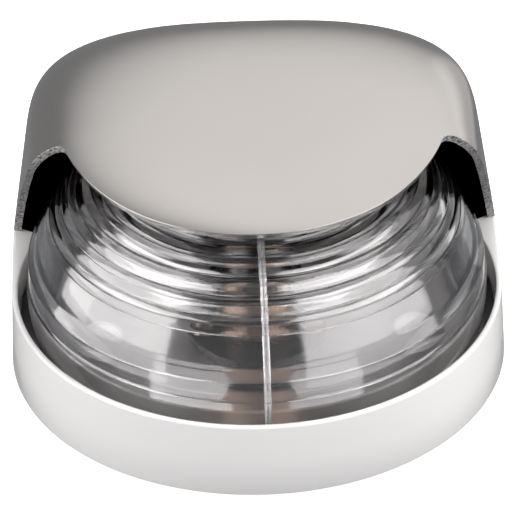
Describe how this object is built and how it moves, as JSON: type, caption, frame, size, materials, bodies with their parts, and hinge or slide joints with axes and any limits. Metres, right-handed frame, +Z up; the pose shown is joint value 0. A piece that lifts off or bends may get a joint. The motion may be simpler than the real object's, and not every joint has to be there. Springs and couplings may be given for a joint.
{
  "type": "navigation light",
  "caption": "Deck-mounted navigation light: clear ringed lens on a white base under a polished cast steel hood open to the front.",
  "frame": {"origin": "on the lens axis, in the plane of the underside that sits on the deck", "axes": "+Z up along the lens axis, -Y the way the light shines, +X completes a right-handed frame"},
  "size_m": [0.101, 0.1073, 0.0586],
  "materials": {
    "white_plastic": "glossy moulded white",
    "clear_plastic": "clear glossy moulded plastic",
    "polished_steel": "polished cast stainless steel",
    "black_rubber": "matt",
    "black_phenolic": "semi-matt moulded",
    "brass": "plain drawn brass",
    "polished_aluminium": "polished",
    "white_nylon": "matt",
    "red_fibre": "matt",
    "spring_steel": "drawn",
    "black_glass": "glossy black glass",
    "solder": "dull solder",
    "bulb_glass_clear": "clear glass",
    "tungsten": "dull grey wire"
  },
  "bodies": {
    "base_body": {"base": "white_plastic", "deck_gasket": "black_rubber", "cable_grommet": "black_rubber", "lens_gasket": "black_rubber", "screw_insert_left": "brass", "screw_insert_right": "brass", "reflector": "polished_aluminium", "socket_body": "black_phenolic", "socket_rivet_left": "brass", "socket_rivet_right": "brass", "bayonet_shell": "brass", "contact_spring": "spring_steel", "terminal_strip_left": "brass", "terminal_strip_right": "brass", "terminal_screw_left": "spring_steel", "terminal_screw_right": "spring_steel"},
    "lens_body": {"lens": "clear_plastic"},
    "hood_body": {"hood": "polished_steel", "hood_tab_left": "polished_steel", "hood_tab_right": "polished_steel", "hood_pad": "black_rubber"},
    "cover_screw_left_body": {"cover_screw_left": "polished_steel", "screw_washer_left": "white_nylon"},
    "cover_screw_right_body": {"cover_screw_right": "polished_steel", "screw_washer_right": "white_nylon"},
    "bulb_body": {"bulb_cap": "brass", "bulb_insulator": "black_glass", "bulb_contact": "solder", "bulb_glass": "bulb_glass_clear", "bulb_stem": "bulb_glass_clear", "filament": "tungsten"},
    "contact_body": {"contact_disc": "red_fibre", "contact_pin": "brass"}
  },
  "joints": [
    {"name": "lens_lift", "type": "slide", "parent": "base_body", "child": "lens_body", "axis": [0, 0, 1], "range_m": [0, 0.05]},
    {"name": "hood_lift", "type": "slide", "parent": "lens_body", "child": "hood_body", "axis": [0, 0, 1], "range_m": [0, 0.06]},
    {"name": "cover_screw_left_out", "type": "slide", "parent": "base_body", "child": "cover_screw_left_body", "axis": [0, 1, 0], "range_m": [0, 0.009]},
    {"name": "cover_screw_right_out", "type": "slide", "parent": "base_body", "child": "cover_screw_right_body", "axis": [0, 1, 0], "range_m": [0, 0.009]},
    {"name": "bulb_twist", "type": "hinge", "parent": "base_body", "child": "bulb_body", "pos_m": [0, 0, 0.0165], "axis": [0, 0, 1], "range_deg": [0, 22]},
    {"name": "contact_press", "type": "slide", "parent": "base_body", "child": "contact_body", "axis": [0, 0, -1], "range_m": [0, 0.0012], "stiffness_N_per_m": 800, "springref_m": -0.002, "deforming": ["contact_spring"]}
  ]
}
